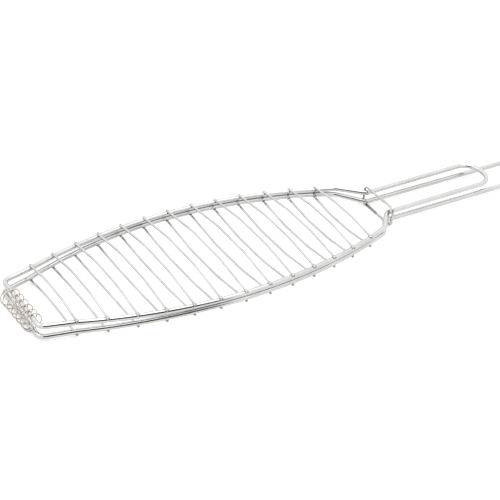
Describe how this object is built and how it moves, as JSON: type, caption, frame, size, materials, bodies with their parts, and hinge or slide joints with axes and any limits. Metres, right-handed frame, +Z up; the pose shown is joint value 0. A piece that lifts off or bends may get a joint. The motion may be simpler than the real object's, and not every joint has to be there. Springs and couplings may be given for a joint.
{
  "type": "grill basket",
  "caption": "Long-handled wire grill basket: two bowed rod frames with cross wires, hinged in a coil spring and held shut by a ring that slides on the handle.",
  "frame": {"origin": "middle of the underside of the whole basket's bounding box, closed and latched", "axes": "+X from the hinge to the end of the long handle, +Y across the basket, +Z up, out of the short-handled frame"},
  "size_m": [0.6818, 0.138, 0.0229],
  "materials": {
    "chromed_rod": "bright chromed steel rod",
    "chromed_wire": "bright chromed steel wire",
    "spring_steel": "drawn spring wire, warm grey"
  },
  "bodies": {
    "lower_half": {"lower_frame": "chromed_rod", "hinge_spring": "spring_steel", "lower_wire_01": "chromed_wire", "lower_wire_02": "chromed_wire", "lower_wire_03": "chromed_wire", "lower_wire_04": "chromed_wire", "lower_wire_05": "chromed_wire", "lower_wire_06": "chromed_wire", "lower_wire_07": "chromed_wire", "lower_wire_08": "chromed_wire", "lower_wire_09": "chromed_wire", "lower_wire_10": "chromed_wire", "lower_wire_11": "chromed_wire", "lower_wire_12": "chromed_wire", "lower_wire_13": "chromed_wire"},
    "upper_half": {"upper_frame": "chromed_rod", "upper_wire_01": "chromed_wire", "upper_wire_02": "chromed_wire", "upper_wire_03": "chromed_wire", "upper_wire_04": "chromed_wire", "upper_wire_05": "chromed_wire", "upper_wire_06": "chromed_wire", "upper_wire_07": "chromed_wire", "upper_wire_08": "chromed_wire", "upper_wire_09": "chromed_wire", "upper_wire_10": "chromed_wire", "upper_wire_11": "chromed_wire", "upper_wire_12": "chromed_wire", "upper_wire_13": "chromed_wire"},
    "latch": {"latch_ring": "chromed_wire"}
  },
  "joints": [
    {"name": "upper_half_hinge", "type": "hinge", "parent": "lower_half", "child": "upper_half", "pos_m": [-0.33087, 0, 0.01523], "axis": [0, -1, 0], "range_deg": [0, 180]},
    {"name": "latch_ring_slide", "type": "slide", "parent": "lower_half", "child": "latch", "axis": [1, 0, 0], "range_m": [0, 0.27]}
  ]
}
